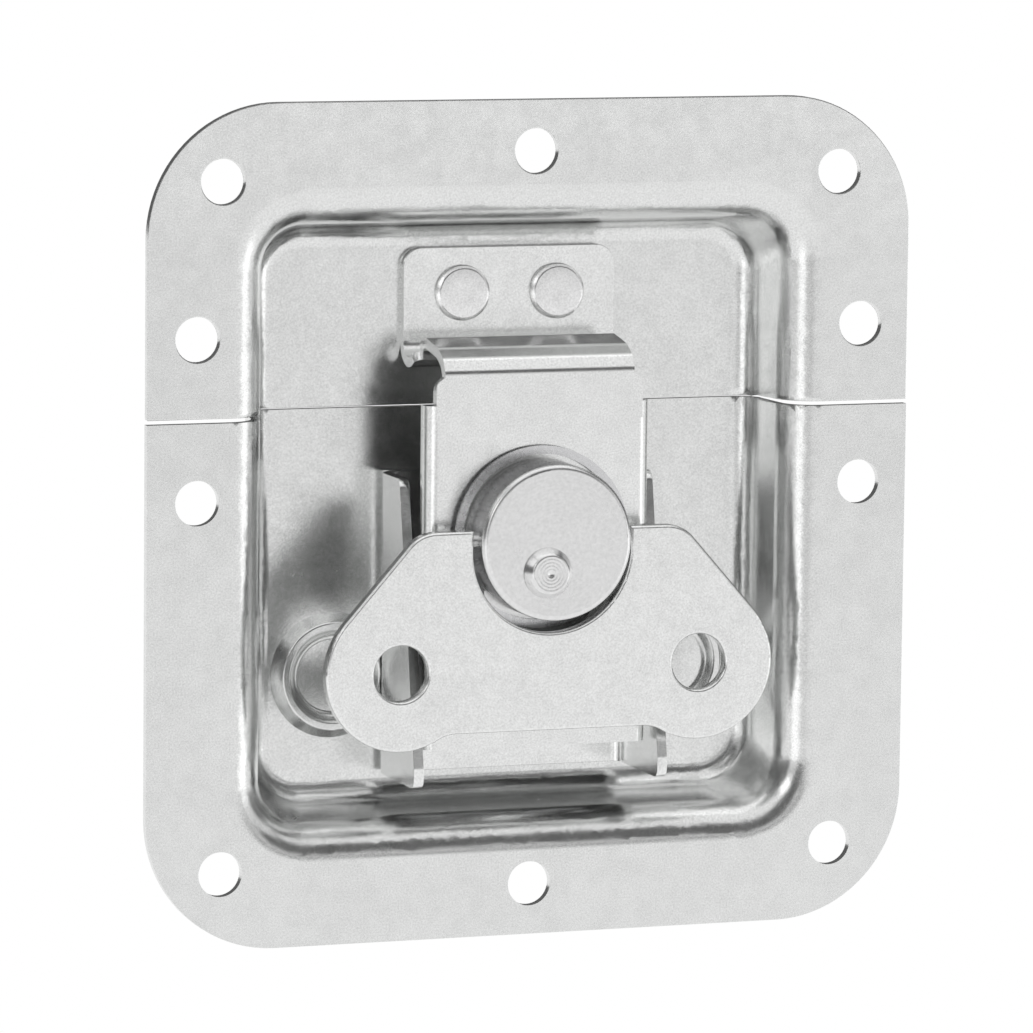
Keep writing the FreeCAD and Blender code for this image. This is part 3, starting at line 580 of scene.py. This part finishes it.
def small_rivet(node, edges):
    """Set rivet on a node's seat: a flat head with a sloping rim, its shank and a low tail."""
    low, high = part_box(node)
    rim = (high.x - low.x) / 2
    drop = edges.head_bevel * math.tan(edges.head_slope)
    seat = low.y + HEAD_HEIGHT
    profile = [(TAIL_RADIUS * across, high.y - TAIL_HEIGHT * down) for across, down in TAIL_DOME]
    profile += [(SHANK_RADIUS, high.y - TAIL_HEIGHT), (SHANK_RADIUS, seat), (rim * HEAD_FOOT_SHARE, seat),
                (rim, seat - HEAD_FOOT), (rim * HEAD_WALL_SHARE, low.y + drop + HEAD_WALL)]
    profile += [(rim - edges.head_bevel * inwards, low.y + drop * height) for inwards, height in HEAD_RIM]
    profile.append((rim * HEAD_MARK_SHARE, low.y + HEAD_MARK))
    return turned(f"{node}_set", (low.x + high.x) / 2, (low.z + high.z) / 2, profile)


def axle_rivet(edges):
    """Axle with its coned head, which has turned rings and a dimple, and its domed tail."""
    face_y, end_y = AXLE_LOW.y, AXLE_HIGH.y
    tail = (AXLE_HIGH.x - AXLE_LOW.x) / 2
    face = AXLE_TOP_RADIUS * AXLE_FACE_SHARE
    seat = face_y + AXLE_HEAD_HEIGHT
    profile = [(tail * across, end_y - down) for across, down in AXLE_TAIL_DOME]
    profile += [(AXLE_RADIUS, end_y - AXLE_TAIL_HEIGHT), (AXLE_RADIUS, seat)]
    profile += [(AXLE_HEAD_RADIUS * across, seat - up) for across, up in AXLE_HEAD_FOOT]
    profile += [(AXLE_TOP_RADIUS * across, face_y + down) for across, down in AXLE_CONE_TOP]
    pitch = (face - DIMPLE_RADIUS * DIMPLE_CLEARANCE) / edges.ring_count
    for ring in range(edges.ring_count):
        outer = face - ring * pitch
        profile += [(outer - pitch * inwards, face_y + edges.ring_depth * depth)
                    for inwards, depth in RING_GROOVE]
    profile += [(DIMPLE_RADIUS * across, face_y + DIMPLE_DEPTH * depth) for across, depth in DIMPLE_FORM]
    return turned("pivot_rivet_set", AXLE_X, AXLE_Z, profile)


class LATCH_OT_dish(bpy.types.Operator):
    """Close the split of the dish, soften its pressings, round its cut edges and plate it"""

    bl_idname = "latch.dish"
    bl_label = "Dish halves"

    def execute(self, context):
        edges, finish = context.scene.latch_edges, context.scene.latch_finish
        material = plated_steel("dish zinc", finish.dish_colour, finish)
        upper = copy_of("upper_dish", "upper_dish_shell")
        close_split(upper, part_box("upper_dish")[0].z, -edges.split_closure)
        lower = copy_of("lower_dish", "lower_dish_shell")
        close_split(lower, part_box("lower_dish")[1].z, edges.split_closure)
        soften_pressings(lower, edges.pressing_round)
        for piece, node in ((upper, "upper_dish"), (lower, "lower_dish")):
            round_edges(piece, edges.sheet_round, edges.sharp_angle)
            settle(piece, node, material)
        return {"FINISHED"}


class LATCH_OT_plates(bpy.types.Operator):
    """Round the cut edges of the hook, keeper, bracket and handle sheets and plate them"""

    bl_idname = "latch.plates"
    bl_label = "Plates and handle"

    def execute(self, context):
        edges, finish = context.scene.latch_edges, context.scene.latch_finish
        material = plated_steel("plate zinc", finish.plate_colour, finish, PLATE_WAVINESS)
        for node in ("hook_plate", "keeper_plate", "guide_bracket", "handle"):
            piece = copy_of(node, f"{node}_sheet")
            round_edges(piece, edges.sheet_round, edges.sharp_angle)
            settle(piece, node, material)
        return {"FINISHED"}


class LATCH_OT_turned(bpy.types.Operator):
    """Give the drum, the pin and the flat washers their turned finish, and set the rivets"""

    bl_idname = "latch.turned"
    bl_label = "Turned pieces"

    def execute(self, context):
        edges, finish = context.scene.latch_edges, context.scene.latch_finish
        drum_zinc = turned_steel("drum zinc", finish.turned_colour, finish, DRUM_X, DRUM_Z, DRUM_PITCH)
        axle_zinc = turned_steel("axle zinc", finish.turned_colour, finish, AXLE_X, AXLE_Z, AXLE_PITCH)
        rivet_zinc = plated_steel("rivet zinc", finish.turned_colour, finish, RIVET_WAVINESS)
        for node in ("cam", "hinge_pin"):
            paint(frame["nodes"][node], drum_zinc)
        for node in ("hub_washer", "rear_washer"):
            paint(frame["nodes"][node], axle_zinc)
        settle(axle_rivet(edges), "pivot_rivet", axle_zinc)
        for pair in ("bracket_rivet", "keeper_rivet"):
            left_node, right_node = f"{pair}_left", f"{pair}_right"
            left = small_rivet(left_node, edges)
            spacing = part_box(right_node)[0].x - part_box(left_node)[0].x
            right = copy_aside(left, f"{right_node}_set", spacing)
            settle(left, left_node, rivet_zinc)
            settle(right, right_node, rivet_zinc)
        return {"FINISHED"}


class LATCH_OT_springs(bpy.types.Operator):
    """Give the leaf spring and the bowed washer their spring steel"""

    bl_idname = "latch.springs"
    bl_label = "Springs"

    def execute(self, context):
        finish = context.scene.latch_finish
        material = spring_steel("spring steel", finish.spring_colour, finish)
        for node in ("lift_spring", "spring_washer"):
            paint(frame["nodes"][node], material)
        return {"FINISHED"}


# Studio

def direction(azimuth, elevation):
    """Unit vector from the latch: azimuth from straight in front towards the right, and elevation."""
    flat = math.cos(elevation)
    return Vector((math.sin(azimuth) * flat, -math.cos(azimuth) * flat, math.sin(elevation)))


def softbox(name, azimuth, elevation, width, height, radiance):
    """Flat lamp that faces the latch, with its strength given as the brightness of its face."""
    lamp = bpy.data.lights.new(name, "AREA")
    lamp.shape = "RECTANGLE"
    lamp.size = width
    lamp.size_y = height
    lamp.energy = radiance * math.pi * width * height
    lamp_object = bpy.data.objects.new(name, lamp)
    towards = direction(math.radians(azimuth), math.radians(elevation))
    lamp_object.location = towards * LAMP_DISTANCE
    lamp_object.rotation_euler = towards.to_track_quat("Z", "Y").to_euler()
    bpy.context.scene.collection.objects.link(lamp_object)


def pale_world(strength):
    """White for the camera, and a grey room for everything else."""
    shader = Shader(bpy.data.worlds.new("studio"))
    seen = shader.node("ShaderNodeLightPath", out="Is Camera Ray")
    room = shader.node("ShaderNodeBackground", {}, {"Color": WHITE, "Strength": strength})
    white = shader.node("ShaderNodeBackground", {}, {"Color": WHITE, "Strength": 1.0})
    mixed = shader.node("ShaderNodeMixShader", {}, {0: seen, 1: room, 2: white})
    shader.node("ShaderNodeOutputWorld", {}, {"Surface": mixed})
    bpy.context.scene.world = shader.owner


def floor_material(colour, glow):
    """Pale floor that the camera sees as white and the metal mirrors, with the latch's shadow kept and a
    patch of painted shade in what the metal mirrors.
    """
    shader = Shader(bpy.data.materials.new("floor"))
    place = shader.place()
    seen = shader.node("ShaderNodeLightPath", out="Is Camera Ray")
    mirrored = shader.node("ShaderNodeLightPath", out="Is Glossy Ray")
    seen_share = shader.span(shader.apart(place, (0.0, 0.0, 0.0)), SHADOW_NEAR, SHADOW_FAR, SHADOW_WHITE, 1.0)
    # Painted shade: the glow that glossy rays see drops to a share of itself round the patch
    from_shade_patch = shader.apart(place, SHADE_PATCH_PLACE)
    mirrored_share = shader.span(from_shade_patch, SHADE_PATCH_CORE, SHADE_PATCH_EDGE, glow * SHADE_PATCH_LEVEL, glow)
    lit = shader.node("ShaderNodeBsdfDiffuse", {}, {"Color": rgba(colour)})
    white = shader.node("ShaderNodeEmission", {}, {"Color": WHITE, "Strength": 1.0})
    share = seen * seen_share + mirrored * mirrored_share
    mixed = shader.node("ShaderNodeMixShader", {}, {0: share, 1: lit, 2: white})
    shader.node("ShaderNodeOutputMaterial", {}, {"Surface": mixed})
    return shader.owner


class LATCH_OT_stage(bpy.types.Operator):
    """Set up the floor, the lamps, the world and the camera"""

    bl_idname = "latch.stage"
    bl_label = "Studio"

    def execute(self, context):
        studio = context.scene.latch_studio
        bpy.ops.object.select_all(action="DESELECT")
        bpy.ops.mesh.primitive_plane_add(size=FLOOR_SIZE, location=(0.0, 0.0, -studio.floor_drop))
        floor = context.active_object
        floor.name = "floor"
        paint(floor, floor_material(studio.floor_colour, studio.floor_glow))
        for lamp in LAMPS:
            softbox(*lamp)
        pale_world(studio.room_light)
        camera = bpy.data.cameras.new("camera")
        camera.lens = studio.camera_lens
        camera.sensor_width = SENSOR_WIDTH
        camera.clip_end = SIGHT
        camera_object = bpy.data.objects.new("camera", camera)
        camera_object.location = studio.camera_place
        camera_object.rotation_euler = studio.camera_turn
        context.scene.collection.objects.link(camera_object)
        context.scene.camera = camera_object
        context.scene.view_settings.view_transform = "Standard"
        return {"FINISHED"}


class LATCH_PT_panel(bpy.types.Panel):
    """Sidebar list of the latch's settings and steps"""

    bl_idname = "LATCH_PT_panel"
    bl_label = "Butterfly latch"
    bl_space_type = "VIEW_3D"
    bl_region_type = "UI"
    bl_category = "Latch"

    def draw(self, context):
        for group in (context.scene.latch_finish, context.scene.latch_edges, context.scene.latch_studio):
            for name in group.bl_rna.properties.keys():
                if name not in ("rna_type", "name"):
                    self.layout.prop(group, name)
        for step in STEPS:
            self.layout.operator(step.bl_idname)


GROUPS = {"latch_finish": LatchFinish, "latch_edges": LatchEdges, "latch_studio": LatchStudio}
STEPS = (LATCH_OT_dish, LATCH_OT_plates, LATCH_OT_turned, LATCH_OT_springs, LATCH_OT_stage)


def register():
    for group in GROUPS.values():
        bpy.utils.register_class(group)
    for name, group in GROUPS.items():
        setattr(bpy.types.Scene, name, bpy.props.PointerProperty(type=group))
    for step in STEPS + (LATCH_PT_panel,):
        bpy.utils.register_class(step)


def unregister():
    for step in (LATCH_PT_panel,) + STEPS:
        bpy.utils.unregister_class(step)
    for name, group in GROUPS.items():
        delattr(bpy.types.Scene, name)
        bpy.utils.unregister_class(group)


def main():
    register()
    bpy.ops.latch.dish()
    bpy.ops.latch.plates()
    bpy.ops.latch.turned()
    bpy.ops.latch.springs()
    bpy.ops.latch.stage()


if __name__ == "__main__":
    main()
